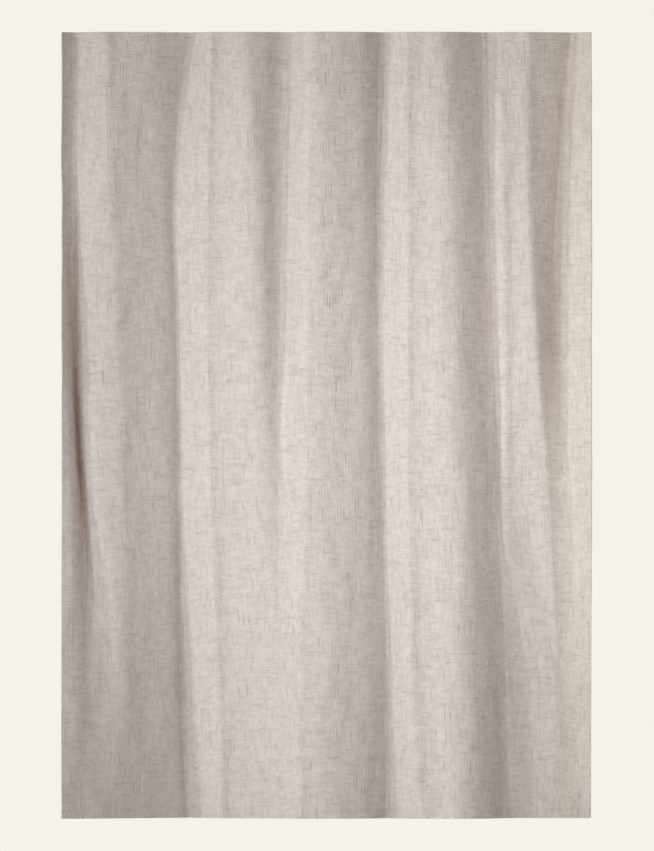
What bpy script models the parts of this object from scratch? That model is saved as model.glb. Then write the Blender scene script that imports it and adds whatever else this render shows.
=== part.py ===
"""A cut length of gathered curtain cloth, hanging in soft and uneven upright folds.

The cloth is one thin sheet. Seen from above, it is a chain of flanks that meet in rounded bends,
and each bend is a fold line that wanders a little on its way down the cloth.

Metres. X runs across the cloth, Y away from the viewer and Z up. The front of the cloth faces -Y.
The origin is on the top edge, in the middle of the width.
"""

from collections import namedtuple

import bmesh
import bpy
import numpy as np

MM = 0.001

WIDTH = 0.530  # across the hung folds, from cut edge to cut edge
DROP = 0.787  # from the top edge down to the bottom edge
THICKNESS = 0.0016  # of the cloth, with the loft of its slubby yarn
DATUM_OUT = 31.3  # millimetres out at the middle of the top edge, where Y is zero

# How far below the top edge the places of the fold lines are given, in millimetres.
HEIGHTS = (0, 150, 300, 450, 600, 787)

# One row for each fold line, from left to right.
# across: millimetres from the left edge, at each of HEIGHTS.
# out: millimetres towards the viewer, at each of HEIGHTS.
# softness: the share of the way to the next lines over which the bend is spread. A cut edge has
# next to none.
FoldLine = namedtuple("FoldLine", "name across out softness")
FOLD_LINES = (
    FoldLine("left edge", (0, 0, 0, 0, 0, 0), (6, 0, 4, 9, 30, 38), 0.01),
    FoldLine("shoulder 1", (2, 2, 5, 9, 13, 12), (2, -4, -4, 5, 26, 32), 0.9),
    FoldLine("deep crease", (8, 7, 11, 17, 26, 28), (-7, -12, -25, -31, 13, 30), 0.4),
    FoldLine("lip 2", (18, 20, 19, 24, 40, 40), (3, -2, -8, -9, 12, 22), 0.9),
    FoldLine("crest 2", (42, 46, 52, 56, 61, 58), (20, 13, -1, -3, 11, 10), 0.8),
    FoldLine("dip 2", (58, 67, 73, 78, 80, 80), (16, 6, -9, -13, -2, -4), 1.0),
    FoldLine("ridge 2", (92, 100, 104, 107, 109, 112), (11, -4, -20, -23, -17, -20), 0.8),
    FoldLine("valley 3", (130, 111, 114, 116, 118, 123), (-14, -16, -32, -35, -32, -34), 0.15),
    FoldLine("crest 3", (148, 145, 144, 147, 152, 160), (14, 24, 6, 7, 11, 4), 0.5),
    FoldLine("dip 3", (156, 153, 153, 157, 163, 170), (12, 23, 5, 6, 10, 4), 0.9),
    FoldLine("ridge 3", (189, 194, 198, 203, 208, 216), (20, 38, 22, 20, 24, 19), 0.7),
    FoldLine("valley 4", (225, 221, 222, 222, 223, 226), (-8, 12, 2, 15, 28, 22), 0.9),
    FoldLine("crest 4", (245, 244, 243, 242, 242, 240), (32, 47, 38, 40, 39, 34), 0.5),
    FoldLine("shoulder 4", (267, 267, 266, 266, 271, 270), (32, 48, 39, 41, 40, 34), 0.9),
    FoldLine("flank 4", (302, 303, 304, 305, 305, 305), (20, 36, 29, 30, 28, 21), 0.6),
    FoldLine("valley 5", (319, 317, 317, 320, 323, 326), (-5, 18, 14, 13, 9, -6), 0.12),
    FoldLine("crest 5", (343, 344, 344, 345, 349, 357), (24, 47, 46, 45, 43, 31), 0.5),
    FoldLine("dip 5", (351, 352, 352, 353, 358, 367), (22, 46, 44, 43, 41, 30), 0.9),
    FoldLine("ridge 5", (383, 385, 386, 391, 394, 396), (26, 55, 54, 54, 53, 41), 0.9),
    FoldLine("flank 5", (402, 404, 404, 410, 414, 417), (9, 47, 46, 47, 45, 34), 0.9),
    FoldLine("valley 6", (422, 425, 429, 436, 441, 448), (-14, 24, 22, 19, 12, -8), 0.4),
    FoldLine("crest 6", (436, 436, 440, 443, 451, 460), (4, 39, 38, 32, 8, -11), 0.5),
    FoldLine("front 6", (448, 456, 460, 465, 472, 480), (4, 40, 41, 32, 8, -12), 0.9),
    FoldLine("edge 6", (463, 469, 476, 485, 491, 498), (5, 43, 44, 35, 12, -10), 0.9),
    FoldLine("under 6", (476, 482, 484, 490, 495, 503), (0, 31, 31, 31, 11, -10), 0.7),
    FoldLine("shelf 7", (491, 491, 488, 497, 503, 509), (-7, 23, 21, 29, 11, -10), 0.9),
    FoldLine("valley 7", (511, 501, 493, 507, 511, 515), (-22, 12, 15, 28, 11, -9), 0.35),
    FoldLine("right edge", (530, 530, 530, 530, 530, 530), (6, 47, 50, 50, 17, -7), 0.01),
)

BEND_TURNS = (-1.0, -0.35, 0.35, 1.0)  # where a bend is cut into flat facets, end to end
ROWS = 17  # facets down the cloth

CLOTH_COLOUR = (0.540, 0.491, 0.451, 1.0)
CLOTH_ROUGHNESS = 0.92


def down_the_cloth(values, height):
    """Each fold line's value at every height: a smooth cubic through its values at HEIGHTS."""
    knots = np.array(HEIGHTS) * MM
    slopes = np.gradient(values, knots, axis=1)
    left = np.clip(np.searchsorted(knots, height, side="right") - 1, 0, len(knots) - 2)
    span = knots[left + 1] - knots[left]
    t = (height - knots[left]) / span
    return (
        values[:, left] * (1 + 2 * t) * (1 - t) ** 2
        + values[:, left + 1] * (3 - 2 * t) * t**2
        + slopes[:, left] * span * t * (1 - t) ** 2
        - slopes[:, left + 1] * span * t**2 * (1 - t)
    )


def fold_surface(line, turn, height):
    """Points of the sheet's middle, one row for each height and one column for each turn.

    A column belongs to a fold line, and turn runs from -1, halfway to the line on its left,
    over 0 at the line to 1, halfway to the line on its right. Within the line's softness the
    column lies on a parabola that leaves both flanks along them, and beyond it on the flank.
    """
    across = down_the_cloth(np.array([row.across for row in FOLD_LINES]) * MM, height)
    out = down_the_cloth(np.array([row.out for row in FOLD_LINES]) * MM, height)
    lines = np.stack([across - WIDTH / 2, DATUM_OUT * MM - out], axis=-1)
    half = np.diff(lines, axis=0) / 2
    still = np.zeros_like(half[:1])
    to_right = np.concatenate([half, still])[line]
    to_left = np.concatenate([still, -half])[line]
    soft = np.array([row.softness for row in FOLD_LINES])[line]
    bend = np.clip(turn / soft, -1, 1)
    share_right = soft * ((1 + bend) / 2) ** 2 + np.maximum(turn - soft, 0)
    share_left = soft * ((1 - bend) / 2) ** 2 + np.maximum(-turn - soft, 0)
    plan = (
        lines[line]
        + to_right * share_right[:, None, None]
        + to_left * share_left[:, None, None]
    )
    x, y = plan[..., 0].T, plan[..., 1].T
    z = np.broadcast_to(-height[:, None], x.shape)
    return np.stack([x, y, z], axis=-1)


def sheet_columns():
    """The fold line and the turn of each column: one at each cut edge, several on each bend."""
    inner = np.arange(1, len(FOLD_LINES) - 1)
    soft = np.array([FOLD_LINES[i].softness for i in inner])
    line = np.concatenate([[0], np.repeat(inner, len(BEND_TURNS)), [len(FOLD_LINES) - 1]])
    turn = np.concatenate([[0.0], np.outer(soft, BEND_TURNS).ravel(), [0.0]])
    return line, turn


def sheet_mesh(name):
    """A grid whose columns follow the fold lines and whose rows run across the cloth."""
    line, turn = sheet_columns()
    bm = bmesh.new()
    bmesh.ops.create_grid(bm, x_segments=len(line) - 1, y_segments=ROWS, size=1.0)
    mesh = bpy.data.meshes.new(name)
    bm.to_mesh(mesh)
    bm.free()
    flat = np.empty(len(mesh.vertices) * 3)
    mesh.vertices.foreach_get("co", flat)
    flat = flat.reshape(-1, 3)
    column = np.rint((flat[:, 0] + 1) / 2 * (len(line) - 1)).astype(int)
    row = np.rint((1 - flat[:, 1]) / 2 * ROWS).astype(int)
    points = fold_surface(line, turn, np.linspace(0, DROP, ROWS + 1))
    mesh.vertices.foreach_set("co", points[row, column].ravel())
    mesh.shade_smooth()
    mesh.update()
    return mesh


def cloth_material():
    """Matte, warm greige linen-look cloth."""
    material = bpy.data.materials.new("linen_look_cloth")
    material.use_nodes = True
    shader = material.node_tree.nodes["Principled BSDF"]
    shader.inputs["Base Color"].default_value = CLOTH_COLOUR
    shader.inputs["Roughness"].default_value = CLOTH_ROUGHNESS
    shader.inputs["Metallic"].default_value = 0.0
    return material


def curtain_panel(collection):
    """The folded sheet, given its thickness half to the front and half to the back."""
    mesh = sheet_mesh("curtain_panel")
    mesh.materials.append(cloth_material())
    panel = bpy.data.objects.new("curtain_panel", mesh)
    collection.objects.link(panel)
    solidify = panel.modifiers.new("cloth thickness", "SOLIDIFY")
    solidify.thickness = THICKNESS
    solidify.offset = 0.0
    solidify.use_even_offset = True
    solidify.use_quality_normals = True
    return panel


for old in list(bpy.data.objects):
    bpy.data.objects.remove(old, do_unlink=True)

curtain = bpy.data.collections.new("curtain")
bpy.context.scene.collection.children.link(curtain)
curtain_panel(curtain)
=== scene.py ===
"""A cut length of slubby, linen-look curtain cloth, hanging in soft and uneven upright folds."""

import math
from collections import namedtuple

import bpy
import numpy as np
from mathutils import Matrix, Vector


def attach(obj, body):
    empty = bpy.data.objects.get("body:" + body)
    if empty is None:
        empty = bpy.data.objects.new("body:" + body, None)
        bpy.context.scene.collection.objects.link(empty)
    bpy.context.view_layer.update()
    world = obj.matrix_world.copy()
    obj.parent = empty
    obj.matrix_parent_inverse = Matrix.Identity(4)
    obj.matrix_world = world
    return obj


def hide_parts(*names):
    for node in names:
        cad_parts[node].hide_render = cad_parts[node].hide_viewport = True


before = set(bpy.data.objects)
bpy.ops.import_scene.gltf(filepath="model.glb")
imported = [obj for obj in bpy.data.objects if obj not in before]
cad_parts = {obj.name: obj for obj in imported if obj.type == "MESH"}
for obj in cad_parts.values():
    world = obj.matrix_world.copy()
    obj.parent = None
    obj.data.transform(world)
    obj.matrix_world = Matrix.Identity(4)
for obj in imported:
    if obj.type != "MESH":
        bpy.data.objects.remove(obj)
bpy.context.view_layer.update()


# The hung cloth
# One width of plain-woven cloth in a matte greige yarn. It is held along its top edge, gathered in,
# and falls in folds that wander and change on the way down. Its four edges are plain cuts.

MM = 0.001
WIDTH = 0.530  # across the hung folds, from cut edge to cut edge
DROP = 0.787  # from the top edge down to the bottom edge
FLAT_WIDTH = 0.655  # of the cloth before it was gathered in
CLOTH_THICKNESS = 0.0009
DATUM_OUT = 31.3  # millimetres out at the middle of the top edge, where Y is zero

# How far below the top edge the places of the fold lines are given, in millimetres.
HEIGHTS = (0, 150, 300, 450, 600, 787)

# One row for each fold line, from left to right.
# across: millimetres from the left edge, at each of HEIGHTS.
# out: millimetres towards the viewer, at each of HEIGHTS.
# softness: the share of the way to the next lines over which the bend is spread. A cut edge has
# next to none.
FoldLine = namedtuple("FoldLine", "name across out softness")
FOLD_LINES = (
    FoldLine("left edge", (0, 0, 0, 0, 0, 0), (6, 0, 4, 4, 29, 38), 0.01),
    FoldLine("shoulder 1", (2, 2, 5, 12, 16, 12), (2, -4, -4, 1, 25, 33), 0.9),
    FoldLine("deep crease", (12, 11, 11, 18, 26, 28), (-7, -12, -28, -31, 11, 27), 0.8),
    FoldLine("lip 2", (22, 23, 19, 25, 40, 40), (5, 0, -8, -6, 10, 21), 0.9),
    FoldLine("crest 2", (42, 46, 52, 56, 61, 58), (19, 12, -1, -3, 11, 10), 0.8),
    FoldLine("dip 2", (58, 67, 73, 78, 80, 80), (16, 6, -9, -13, -2, -5), 1.0),
    FoldLine("ridge 2", (92, 100, 104, 107, 109, 112), (11, -4, -20, -23, -17, -26), 0.8),
    FoldLine("valley 3", (130, 111, 114, 116, 118, 126), (-14, -16, -32, -35, -32, -36), 0.15),
    FoldLine("crest 3", (147, 143, 142, 146, 151, 157), (14, 24, 6, 7, 11, 4), 0.7),
    FoldLine("dip 3", (159, 157, 156, 161, 167, 175), (13, 23, 6, 7, 10, 3), 0.9),
    FoldLine("ridge 3", (189, 194, 198, 203, 208, 216), (20, 38, 22, 20, 24, 14), 0.7),
    FoldLine("valley 4", (228, 221, 222, 222, 223, 226), (-8, 12, 2, 15, 28, 21), 0.7),
    FoldLine("crest 4", (245, 244, 243, 242, 242, 237), (32, 47, 38, 40, 39, 33), 0.5),
    FoldLine("shoulder 4", (267, 267, 266, 266, 271, 270), (32, 48, 39, 41, 40, 34), 0.9),
    FoldLine("flank 4", (302, 303, 304, 305, 305, 305), (22, 36, 29, 30, 28, 21), 0.6),
    FoldLine("valley 5", (317, 316, 316, 319, 324, 326), (-3, 18, 14, 14, 10, -3), 0.12),
    FoldLine("crest 5", (343, 344, 344, 344, 346, 355), (24, 47, 46, 45, 43, 31), 0.6),
    FoldLine("dip 5", (354, 356, 358, 359, 364, 374), (23, 46, 45, 44, 41, 31), 0.9),
    FoldLine("ridge 5", (383, 385, 386, 391, 394, 396), (26, 55, 54, 54, 52, 40), 0.9),
    FoldLine("flank 5", (402, 404, 406, 411, 417, 420), (11, 47, 46, 47, 44, 33), 0.9),
    FoldLine("valley 6", (422, 425, 429, 436, 441, 448), (-14, 24, 22, 19, 13, -7), 0.4),
    FoldLine("crest 6", (436, 436, 440, 443, 451, 460), (4, 39, 38, 32, 8, -11), 0.5),
    FoldLine("front 6", (448, 456, 460, 465, 472, 480), (4, 40, 41, 32, 8, -11), 0.9),
    FoldLine("edge 6", (466, 468, 476, 485, 493, 498), (5, 43, 44, 35, 13, -9), 0.9),
    FoldLine("under 6", (476, 480, 482, 492, 497, 503), (1, 31, 31, 31, 12, -9), 0.7),
    FoldLine("shelf 7", (491, 489, 486, 502, 504, 509), (-5, 23, 21, 28, 11, -9), 0.9),
    FoldLine("valley 7", (511, 498, 490, 511, 514, 515), (-22, 12, 15, 28, 12, -9), 0.35),
    FoldLine("right edge", (530, 530, 530, 530, 530, 530), (6, 47, 50, 50, 17, -8), 0.01),
)

# Soft creases and ridges that lie on the folds, in millimetres.
# top, bottom: how far below the top edge it starts and ends. It fades in and out over its length.
# across: from the left edge, at its start and at its end. width: of its swell, from its middle.
# out: how far it stands out, or goes in where negative.
FADE = 0.3
Crease = namedtuple("Crease", "name top bottom across width out")
CREASES = (
    Crease("groove beside the deep crease", 330, 560, (44, 58), 7, -0.8),
    Crease("left wall of fold 4", -60, 300, (205, 203), 6, 0.8),
    Crease("beside crest 4", 40, 420, (230, 233), 7, 0.7),
    Crease("groove right of crest 4", -60, 420, (250, 250), 5, -0.7),
    Crease("groove of the middle fold", 480, 850, (248, 246), 5, -0.9),
    Crease("foot of fold 3", 580, 860, (119, 128), 4, -1.8),
    Crease("foot of fold 5", 610, 860, (322, 325), 4, -1.2),
    Crease("dent before valley 6", 150, 420, (386, 389), 6, -0.8),
    Crease("thin ridge of fold 6", 10, 600, (442, 445), 5, 2.3),
    Crease("crease into the bottom of fold 6", 620, 850, (439, 445), 5, -2.6),
)

# The cloth's slight cockling: waves of these sizes, in millimetres, that lean to either side.
# across: from wave to wave across the cloth. down: the same, down it; negative leans the other way.
# start: where in its wave it begins, as a share of one. out: how far it swells to either side.
Cockle = namedtuple("Cockle", "across down start out")
COCKLES = (
    Cockle(47.0, 190.0, 0.10, 0.22),
    Cockle(31.0, -137.0, 0.55, 0.18),
    Cockle(23.0, 89.0, 0.30, 0.12),
    Cockle(39.0, -61.0, 0.80, 0.12),
    Cockle(17.0, 211.0, 0.65, 0.08),
)

CELL_ACROSS = 2.7 * MM  # of the mesh, along the cloth
CELL_DOWN = 4.6 * MM
CELLS_AT = 2  # which of HEIGHTS the cells are spaced for
LEAST_CELLS = 4  # to a fold line, however close the next one is


def down_the_cloth(values, height):
    """Each fold line's value at every height: a smooth cubic through its values at HEIGHTS.

    Between two heights a and b, with t from 0 to 1, it is
    a (1 + 2t)(1 - t)^2 + b (3 - 2t) t^2 + span (slope_a t (1 - t)^2 - slope_b t^2 (1 - t)).
    """
    knots = np.array(HEIGHTS) * MM
    slopes = np.gradient(values, knots, axis=1)
    left = np.clip(np.searchsorted(knots, height, side="right") - 1, 0, len(knots) - 2)
    span = knots[left + 1] - knots[left]
    t = (height - knots[left]) / span
    return (
        values[:, left] * (1 + 2 * t) * (1 - t) ** 2
        + values[:, left + 1] * (3 - 2 * t) * t**2
        + slopes[:, left] * span * t * (1 - t) ** 2
        - slopes[:, left + 1] * span * t**2 * (1 - t)
    )


def fold_surface(line, turn, height):
    """Points on the folds, one row for each height and one column for each turn.

    A column belongs to a fold line, and turn runs from -1, halfway to the line on its left, over 0 at
    the line to 1, halfway to the line on its right. Within the line's softness s the column lies on a
    parabola that leaves both flanks along them: with b = turn / s, it takes s ((1 + b) / 2)^2 of the
    right half flank and s ((1 - b) / 2)^2 of the left one. Beyond it, the column is on the flank.
    """
    across = down_the_cloth(np.array([row.across for row in FOLD_LINES]) * MM, height)
    out = down_the_cloth(np.array([row.out for row in FOLD_LINES]) * MM, height)
    lines = np.stack([across - WIDTH / 2, DATUM_OUT * MM - out], axis=-1)
    half = np.diff(lines, axis=0) / 2
    still = np.zeros_like(half[:1])
    to_right = np.concatenate([half, still])[line]
    to_left = np.concatenate([still, -half])[line]
    soft = np.array([row.softness for row in FOLD_LINES])[line]
    bend = np.clip(turn / soft, -1, 1)
    share_right = soft * ((1 + bend) / 2) ** 2 + np.maximum(turn - soft, 0)
    share_left = soft * ((1 - bend) / 2) ** 2 + np.maximum(-turn - soft, 0)
    plan = (
        lines[line]
        + to_right * share_right[:, None, None]
        + to_left * share_left[:, None, None]
    )
    x, y = plan[..., 0].T, plan[..., 1].T
    z = np.broadcast_to(-height[:, None], x.shape)
    return np.stack([x, y, z], axis=-1)


def sheet_columns():
    """The fold line and the turn of each column, so many to a fold line that cells have one size.

    A fold line has as many columns as cells fit between halfway to the line on its left and halfway
    to the one on its right. Their turns are spaced evenly from -1. A cut edge has one column.
    """
    places = np.array([(row.across[CELLS_AT], row.out[CELLS_AT]) for row in FOLD_LINES]) * MM
    gaps = np.linalg.norm(np.diff(places, axis=0), axis=1)
    line, turn = [0], [0.0]
    for number in range(1, len(FOLD_LINES) - 1):
        reach = (gaps[number - 1] + gaps[number]) / 2
        steps = max(LEAST_CELLS, round(reach / CELL_ACROSS))
        line += [number] * steps
        turn += list(np.linspace(-1, 1, steps, endpoint=False))
    return np.array(line + [len(FOLD_LINES) - 1]), np.array(turn + [0.0])


def with_creases(points):
    """The folds with the creases and the cockling laid on them, along the cloth's own normal in plan.

    A crease adds out * exp(-(d / width)^2) * f^2 (3 - 2 f), where d is the distance across from its
    path, a straight line from its start to its end, and f rises from 0 to 1 over the first FADE of
    its length and falls back over the last. The cockling adds the sum of
    out * sin(2 pi (a / across + b / down + start)) at a along the cloth and b below its top edge.
    """
    across = (points[..., 0] + WIDTH / 2) / MM
    below = -points[..., 2] / MM
    run = np.gradient(points[..., :2], axis=1)
    length = np.linalg.norm(run, axis=-1, keepdims=True)
    along = np.cumsum(length[..., 0], axis=1) / MM
    run /= length
    lift = np.zeros_like(across)
    for crease in CREASES:
        t = np.clip((below - crease.top) / (crease.bottom - crease.top), 0, 1)
        path = crease.across[0] + (crease.across[1] - crease.across[0]) * t
        fade = np.clip(np.minimum(t, 1 - t) / FADE, 0, 1)
        swell = np.exp(-(((across - path) / crease.width) ** 2))
        lift += crease.out * swell * fade**2 * (3 - 2 * fade)
    for wave in COCKLES:
        lift += wave.out * np.sin(2 * np.pi * (along / wave.across + below / wave.down + wave.start))
    moved = points.copy()
    moved[..., 0] += run[..., 1] * lift * MM
    moved[..., 1] -= run[..., 0] * lift * MM
    return moved


SHADE_REACH = 5  # millimetres to either side of the deep crease
SHADE_DEPTH = 19  # millimetres deep, where the crease's painted shade starts to show
SHADE_GROWS = 8  # millimetres deeper, where the painted shade is as brown as it gets


def fold_line_number(name):
    """Where in FOLD_LINES the line of that name stands."""
    return [row.name for row in FOLD_LINES].index(name)


def painted_shade_in_crease(points, height):
    """How far each point lies in the deep crease, which takes painted shade: a browner colour standing
    in for the light that comes browner through the cloth there.

    It is exp(-(d / SHADE_REACH)^2) at d millimetres across from the crease's line, times a share
    that rises from 0 to 1 as the crease goes from SHADE_DEPTH to SHADE_GROWS deeper. Its depth is
    taken from halfway out between the left edge and crest 2.
    """
    edge, crease, crest = (fold_line_number(name) for name in ("left edge", "deep crease", "crest 2"))
    path = down_the_cloth(np.array([row.across for row in FOLD_LINES]) * MM, height)[crease]
    out = down_the_cloth(np.array([row.out for row in FOLD_LINES], dtype=float), height)
    depth = (out[edge] + out[crest]) / 2 - out[crease]
    away = (points[..., 0] + WIDTH / 2 - path[:, None]) / MM
    share = np.clip((depth - SHADE_DEPTH) / SHADE_GROWS, 0, 1)
    return np.exp(-((away / SHADE_REACH) ** 2)) * share[:, None]


def painted_light_past_fold_6(line, turn):
    """How far each column is past the edge of fold 6, which takes painted light: a warmer colour
    standing in for the warmer light on the cloth behind.

    It is 0 as far as that fold line, rises evenly to 1 at the next and stays 1. A column's place
    between fold lines is its line's number plus half its turn.
    """
    return np.clip(line + turn / 2 - fold_line_number("edge 6"), 0, 1)


def cloth_mesh(name):
    """The folded sheet, still without thickness, with a map in metres of where each point lies on it.

    Across the cloth the map is each column's mean distance along the folds from the sheet's middle,
    so a column is one yarn's path, and down the cloth it is the distance from the top edge. Two
    values at each point say how far it is in the deep crease and past the edge of fold 6, for the
    painted shade and painted warm light there.
    """
    line, turn = sheet_columns()
    height = np.linspace(0, DROP, round(DROP / CELL_DOWN) + 1)
    points = with_creases(fold_surface(line, turn, height))
    rows, columns = points.shape[:2]
    number = np.arange(rows * columns).reshape(rows, columns)
    corners = (number[1:, :-1], number[1:, 1:], number[:-1, 1:], number[:-1, :-1])
    mesh = bpy.data.meshes.new(name)
    mesh.from_pydata(points.reshape(-1, 3), [], np.stack(corners, axis=-1).reshape(-1, 4))
    steps = np.linalg.norm(np.diff(points[..., :2], axis=1), axis=-1).mean(axis=0)
    along = np.concatenate([[0.0], np.cumsum(steps)])
    along -= np.interp(0, points[0, :, 0], along)
    on_cloth = np.stack(np.broadcast_arrays(along[None, :], -height[:, None]), axis=-1).reshape(-1, 2)
    corner = np.empty(len(mesh.loops), dtype=np.int32)
    mesh.loops.foreach_get("vertex_index", corner)
    mesh.uv_layers.new(name="cloth").data.foreach_set("uv", on_cloth[corner].ravel())
    # Painted shade: how far each point takes the browner colour of the deep crease.
    shade = mesh.attributes.new("painted_crease_shade", "FLOAT", "POINT")
    shade.data.foreach_set("value", painted_shade_in_crease(points, height).ravel())
    # Painted light: how far each point takes the warmer colour past the edge of fold 6.
    painted_warmth = mesh.attributes.new("painted_light_past_fold_6", "FLOAT", "POINT")
    painted_warmth.data.foreach_set("value", np.tile(painted_light_past_fold_6(line, turn), rows))
    mesh.shade_smooth()
    return mesh


CUT_CORNER = 60  # degrees; only the corners of the cut edges are sharper than that


def give_thickness(piece, thickness):
    """Turns the sheet into a closed one, half to each side, with crisp cut edges."""
    solidify = piece.modifiers.new("cloth thickness", "SOLIDIFY")
    solidify.thickness = thickness
    solidify.offset = 0.0
    solidify.use_even_offset = True
    solidify.use_quality_normals = True
    solved = piece.evaluated_get(bpy.context.evaluated_depsgraph_get())
    finished = bpy.data.meshes.new_from_object(solved)
    piece.modifiers.clear()
    thin, piece.data = piece.data, finished
    finished.name = thin.name
    bpy.data.meshes.remove(thin)
    finished.set_sharp_from_angle(angle=math.radians(CUT_CORNER))


def node(tree, kind, inputs=(), **settings):
    """Adds a shader node, with its settings, and plugs in or sets its inputs by name or number."""
    made = tree.nodes.new(kind)
    for key, value in settings.items():
        setattr(made, key, value)
    for key, value in dict(inputs).items():
        if isinstance(value, bpy.types.NodeSocket):
            tree.links.new(value, made.inputs[key])
        else:
            made.inputs[key].default_value = value
    return made


def maths(tree, operation, *values):
    """The result of a Math node on the values, each a number or another node's output."""
    return node(tree, "ShaderNodeMath", dict(enumerate(values)), operation=operation).outputs[0]


def mixed(tree, share, first, second):
    """The first colour where the share is 0, the second where it is 1, and a blend of them between."""
    return node(tree, "ShaderNodeMix", {0: share, 6: first, 7: second}, data_type="RGBA").outputs[2]


STRAY = 5.0  # millimetres that a yarn strays sideways, at most, by a slow noise
STRAY_ALONG = 0.03  # noise for each millimetre along the yarn
STRAY_ACROSS = 0.02  # noise for each millimetre across it
NEXT_YARN = (91.0, 37.0)  # how far a yarn's own noise may lie from another's, across and along
SLUB_FAINT = 0.40  # of the yarn's noise, where a slub starts to show
SLUB_FULL = 0.70  # of the yarn's noise, where it is as dark as it gets


def yarns_group():
    """Yarns that lie side by side, each dark and thick in its own places, for a slub's length.

    Across and Along are millimetres on the cloth, square to the yarns and along them. Pitch is the
    distance from yarn to yarn, Run the length of a slub and Seed sets one set of yarns off from the
    next. A yarn's number is the whole part of (Across + its stray) / Pitch. Line is how much of a
    slub shows: sin(pi f) over the yarn's width, with f the part left over, times how far the noise
    along the yarn has gone from SLUB_FAINT to SLUB_FULL. Tone is that noise, from 0 to 1 about a half.
    """
    group = bpy.data.node_groups.new("slubby yarns", "ShaderNodeTree")
    for name, value in (("Across", 0.0), ("Along", 0.0), ("Pitch", 1.0), ("Run", 12.0), ("Seed", 0.0)):
        socket = group.interface.new_socket(name, in_out="INPUT", socket_type="NodeSocketFloat")
        socket.default_value = value
    for name in ("Line", "Tone"):
        group.interface.new_socket(name, in_out="OUTPUT", socket_type="NodeSocketFloat")
    given = group.nodes.new("NodeGroupInput").outputs
    stray_at = node(group, "ShaderNodeCombineXYZ", {
        "X": maths(group, "MULTIPLY", given["Along"], STRAY_ALONG),
        "Y": maths(group, "MULTIPLY", given["Across"], STRAY_ACROSS),
        "Z": given["Seed"],
    })
    stray = node(group, "ShaderNodeTexNoise", {"Vector": stray_at.outputs[0], "Scale": 1.0,
                                               "Detail": 1.0})
    moved = maths(group, "MULTIPLY_ADD", stray.outputs[0], STRAY, given["Across"])
    count = maths(group, "DIVIDE", moved, given["Pitch"])
    yarn = maths(group, "FLOOR", count)
    lot = node(group, "ShaderNodeTexWhiteNoise", {"W": maths(group, "ADD", yarn, given["Seed"])},
               noise_dimensions="1D").outputs[0]
    run = maths(group, "DIVIDE", given["Along"], given["Run"])
    place_at = node(group, "ShaderNodeCombineXYZ", {
        "X": maths(group, "MULTIPLY", lot, NEXT_YARN[0]),
        "Y": maths(group, "MULTIPLY_ADD", lot, NEXT_YARN[1], run),
        "Z": given["Seed"],
    })
    place = node(group, "ShaderNodeTexNoise", {"Vector": place_at.outputs[0], "Scale": 1.0,
                                               "Detail": 2.0, "Roughness": 0.6})
    back = maths(group, "SINE", maths(group, "MULTIPLY", maths(group, "FRACT", count), math.pi))
    slub = node(group, "ShaderNodeMapRange", {"Value": place.outputs[0], "From Min": SLUB_FAINT,
                                              "From Max": SLUB_FULL}, clamp=True)
    result = group.nodes.new("NodeGroupOutput").inputs
    group.links.new(maths(group, "MULTIPLY", back, slub.outputs[0]), result["Line"])
    group.links.new(place.outputs[0], result["Tone"])
    return group


# The yarn sets of the weave: which way they run, their pitch and slub length in millimetres, how
# much darker the slubs are, how much the yarns differ in tone, and how high a slub stands.
YarnSet = namedtuple("YarnSet", "name upright pitch run slub uneven relief")
YARN_SETS = (
    YarnSet("close warp", True, 1.7, 12.0, 0.16, 0.45, 0.5),
    YarnSet("close weft", False, 1.8, 12.0, 0.16, 0.45, 0.5),
    YarnSet("thick warp", True, 2.9, 17.0, 0.27, 0.20, 1.0),
    YarnSet("thick weft", False, 3.1, 16.0, 0.27, 0.20, 1.0),
)

NEXT_SET = 10.3  # from the seed of one set of yarns to the next
SAG = 16.0  # millimetres that the weft dips or rises, at most
SAG_SIZE = (60.0, 120.0)  # millimetres across and down
SAG_SEED = 3.0
PATCH_SIZE = (14.0, 20.0)  # millimetres across and down, of patches where slubs show more or less
PATCH_STRENGTH = 2.0  # so that slubs keep their darkness in the mean
NEXT_PATCH = 7.7  # from the seed of one set's patches to the next
CROSSED = 0.2  # how much the fainter of two slubs that cross adds to the darker
UNDERTONE = 0.06  # of slub colour in all of the yarn

LEFT_COLOUR = (0.674, 0.625, 0.606, 1.0)  # of the yarn at the left edge
RIGHT_COLOUR = (0.685, 0.625, 0.594, 1.0)  # at the right edge, but for what lies past fold 6
PAINTED_WARM_LIGHT_COLOUR = (0.686, 0.625, 0.577, 1.0)  # painted warm light, past the edge of fold 6
PAINTED_CREASE_SHADE_COLOUR = (0.765, 0.643, 0.572, 1.0)  # painted shade, browner where the deep crease is shaded
SLUB_COLOUR = (0.365, 0.310, 0.286, 1.0)
RELIEF = 0.40 * MM
CLOTH_FINISH = {"Roughness": 0.92, "Specular IOR Level": 0.2, "Sheen Weight": 0.05,
                "Sheen Roughness": 0.5}


def patches(tree, u, v, size, seed):
    """Soft blotches of the given width and height in millimetres, from 0 to 1 about a half."""
    at = node(tree, "ShaderNodeCombineXYZ", {"X": maths(tree, "DIVIDE", u, size[0]),
                                             "Y": maths(tree, "DIVIDE", v, size[1]), "Z": seed})
    return node(tree, "ShaderNodeTexNoise", {"Vector": at.outputs[0], "Scale": 1.0,
                                             "Detail": 2.0}).outputs[0]


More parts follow.
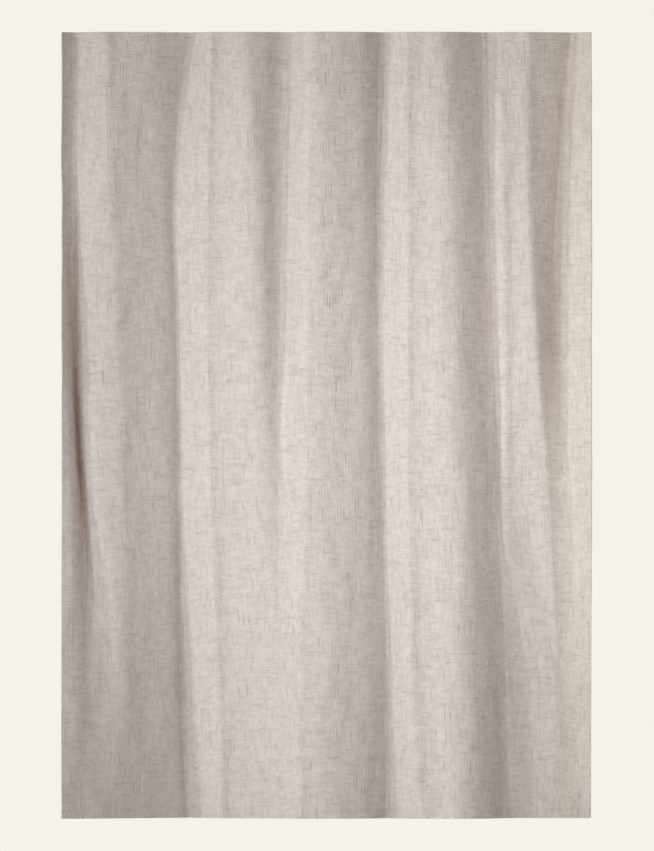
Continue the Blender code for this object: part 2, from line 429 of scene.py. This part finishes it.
def cloth_material():
    """Matte greige cloth: light yarn, crossed by darker slubs that run up and across in patches.

    The darkness is the strongest slub at a place, plus CROSSED of the ones that it crosses, plus
    each yarn's own tone and the undertone. It leads from the yarn's colour to the slub's. The yarn's
    colour carries painted warm light past the edge of fold 6 and painted shade in the deep crease.
    """
    material = bpy.data.materials.new("linen_look_cloth")
    material.use_nodes = True
    tree = material.node_tree
    shader = tree.nodes["Principled BSDF"]
    where = node(tree, "ShaderNodeUVMap", uv_map="cloth").outputs[0]
    apart = node(tree, "ShaderNodeSeparateXYZ", {0: where})
    u = maths(tree, "DIVIDE", apart.outputs[0], MM)
    v = maths(tree, "DIVIDE", apart.outputs[1], MM)
    sagging = maths(tree, "MULTIPLY_ADD", patches(tree, u, v, SAG_SIZE, SAG_SEED), SAG, v)
    yarns = yarns_group()
    strong, weak, tone, relief = 0.0, 0.0, 0.0, 0.0
    for number, row in enumerate(YARN_SETS):
        across, along = (u, v) if row.upright else (sagging, u)
        yarn = node(tree, "ShaderNodeGroup", {
            "Across": across, "Along": along, "Pitch": row.pitch, "Run": row.run,
            "Seed": NEXT_SET * number,
        }, node_tree=yarns)
        patch = maths(tree, "MULTIPLY", patches(tree, u, v, PATCH_SIZE, NEXT_PATCH * number),
                      PATCH_STRENGTH)
        shown = maths(tree, "MULTIPLY", yarn.outputs["Line"], patch)
        slub = maths(tree, "MULTIPLY", shown, row.slub)
        weak = maths(tree, "ADD", weak, maths(tree, "MINIMUM", slub, strong))
        strong = maths(tree, "MAXIMUM", slub, strong)
        own = maths(tree, "SUBTRACT", yarn.outputs["Tone"], 0.5)
        tone = maths(tree, "MULTIPLY_ADD", own, row.uneven, tone)
        relief = maths(tree, "MAXIMUM", maths(tree, "MULTIPLY", shown, row.relief), relief)
    plain_yarn = maths(tree, "ADD", tone, UNDERTONE)
    dark = maths(tree, "MULTIPLY_ADD", weak, CROSSED, maths(tree, "ADD", strong, plain_yarn))
    drift = node(tree, "ShaderNodeMapRange", {"Value": u, "From Min": -FLAT_WIDTH / 2 / MM,
                                              "From Max": FLAT_WIDTH / 2 / MM}, clamp=True)
    painted_warmth = node(tree, "ShaderNodeAttribute", attribute_name="painted_light_past_fold_6")
    shade = node(tree, "ShaderNodeAttribute", attribute_name="painted_crease_shade")
    colour = mixed(tree, drift.outputs[0], LEFT_COLOUR, RIGHT_COLOUR)
    # Painted warm light on the cloth past the edge of fold 6.
    colour = mixed(tree, painted_warmth.outputs["Fac"], colour, PAINTED_WARM_LIGHT_COLOUR)
    # Painted shade: browner in the deep crease.
    colour = mixed(tree, shade.outputs["Fac"], colour, PAINTED_CREASE_SHADE_COLOUR)
    colour = mixed(tree, dark, colour, SLUB_COLOUR)
    tree.links.new(colour, shader.inputs["Base Color"])
    bump = node(tree, "ShaderNodeBump", {"Height": relief, "Strength": 1.0, "Distance": RELIEF})
    tree.links.new(bump.outputs[0], shader.inputs["Normal"])
    for name, value in CLOTH_FINISH.items():
        shader.inputs[name].default_value = value
    return material


cloth = bpy.data.objects.new("curtain_cloth", cloth_mesh("curtain_cloth"))
bpy.context.scene.collection.objects.link(cloth)
give_thickness(cloth, CLOTH_THICKNESS)
cloth.data.materials.clear()
cloth.data.materials.append(cloth_material())
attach(cloth, "root")
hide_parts("curtain_panel")


# The floor
# A plain pale floor below the hanging cloth, lower than its bottom edge.

FLOOR_HALF = 6.0
FLOOR_BELOW = 0.25  # under the bottom edge
FLOOR_COLOUR = (0.72, 0.70, 0.66, 1.0)
FLOOR_ROUGHNESS = 0.9


def plain_floor():
    """A flat square, centred under the cloth."""
    corner = np.array([(-1, -1), (1, -1), (1, 1), (-1, 1)], dtype=float) * FLOOR_HALF
    level = np.full((4, 1), -DROP - FLOOR_BELOW)
    mesh = bpy.data.meshes.new("floor")
    mesh.from_pydata(np.hstack([corner, level]), [], [(0, 1, 2, 3)])
    material = bpy.data.materials.new("pale_floor")
    material.use_nodes = True
    shader = material.node_tree.nodes["Principled BSDF"]
    shader.inputs["Base Color"].default_value = FLOOR_COLOUR
    shader.inputs["Roughness"].default_value = FLOOR_ROUGHNESS
    mesh.materials.append(material)
    return bpy.data.objects.new("floor", mesh)


floor = plain_floor()
bpy.context.scene.collection.objects.link(floor)


# Light and camera
# Soft light comes mainly from the left, so that the folds' right flanks are dim, in an even pale room.
# The cloth is seen from straight ahead.

ROOM_COLOUR = (0.930, 0.858, 0.845, 1.0)  # of the glow that falls on the cloth
ROOM_LIGHT = 0.415
SEEN_COLOUR = (0.913, 0.888, 0.831, 1.0)  # of the ground behind the cloth
# One row for each lamp: turn, in degrees round from straight ahead, to the right where positive.
# aim: where it points, across the cloth and up, in metres; the lamp is level with that place.
# high: the height of its beam, in degrees. narrow: the beam's width as a share of its height.
Lamp = namedtuple("Lamp", "turn power aim high narrow")
LAMPS = (
    Lamp(-20.0, 290.0, (0.12, -0.41), 25.4, 0.255),
    Lamp(-36.0, 378.0, (0.12, -0.41), 25.4, 0.255),
    Lamp(-52.0, 526.0, (0.13, -0.41), 25.4, 0.243),
    Lamp(-68.0, 590.0, (0.14, -0.41), 25.4, 0.232),
    Lamp(0.0, 196.0, (0.13, -0.38), 16.5, 0.64),
    Lamp(35.0, 250.0, (0.15, -0.39), 16.5, 0.64),
)
LAMP_AWAY = 5.0  # from the place that it points at
LAMP_SIZE = 0.5  # radius, so shadows are soft
LAMP_COLOUR = (0.957, 1.0, 0.979)

PICTURE_HEIGHT = 0.851  # of the whole view at the cloth
CAMERA_AWAY = 25.0
SENSOR = 36.0  # millimetres
NUDGE = (0.0005, -0.0003)  # of the camera, right and down, so the cut edges fall between pixels


def soft_lamp(row):
    """A lamp that faces the cloth squarely in height, whose tall beam fades towards its rim."""
    lamp = bpy.data.lights.new("lamp", "SPOT")
    lamp.energy = row.power
    lamp.color = LAMP_COLOUR
    lamp.shadow_soft_size = LAMP_SIZE
    lamp.spot_size = math.radians(row.high)
    lamp.spot_blend = 1.0
    light = bpy.data.objects.new("lamp", lamp)
    aim = Vector((row.aim[0], 0.0, row.aim[1]))
    angle = math.radians(row.turn)
    light.location = aim + LAMP_AWAY * Vector((math.sin(angle), -math.cos(angle), 0.0))
    light.rotation_euler = (aim - light.location).to_track_quat("-Z", "Y").to_euler()
    light.scale = (row.narrow, 1.0, 1.0)
    light.visible_camera = False
    return light


def pale_room():
    """An even pale glow all round, and the plain cream ground that the camera sees behind the cloth."""
    world = bpy.data.worlds.new("pale room")
    world.use_nodes = True
    tree = world.node_tree
    glow = tree.nodes["Background"]
    glow.inputs["Color"].default_value = ROOM_COLOUR
    glow.inputs["Strength"].default_value = ROOM_LIGHT
    seen = node(tree, "ShaderNodeBackground", {"Color": SEEN_COLOUR, "Strength": 1.0})
    ray = node(tree, "ShaderNodeLightPath")
    mix = node(tree, "ShaderNodeMixShader", {0: ray.outputs["Is Camera Ray"], 1: glow.outputs[0],
                                             2: seen.outputs[0]})
    tree.links.new(mix.outputs[0], tree.nodes["World Output"].inputs["Surface"])
    return world


def front_camera():
    """Far off and level with the cloth's middle, so the folds are seen without perspective."""
    lens = bpy.data.cameras.new("camera")
    lens.sensor_width = SENSOR
    lens.lens = SENSOR * CAMERA_AWAY / PICTURE_HEIGHT
    lens.clip_end = 4 * CAMERA_AWAY
    camera = bpy.data.objects.new("camera", lens)
    camera.location = (NUDGE[0], -CAMERA_AWAY, NUDGE[1] - DROP / 2)
    camera.rotation_euler = (math.pi / 2, 0.0, 0.0)
    return camera


scene = bpy.context.scene
scene.world = pale_room()
scene.view_settings.view_transform = "Standard"
for row in LAMPS:
    scene.collection.objects.link(soft_lamp(row))
scene.camera = front_camera()
scene.collection.objects.link(scene.camera)
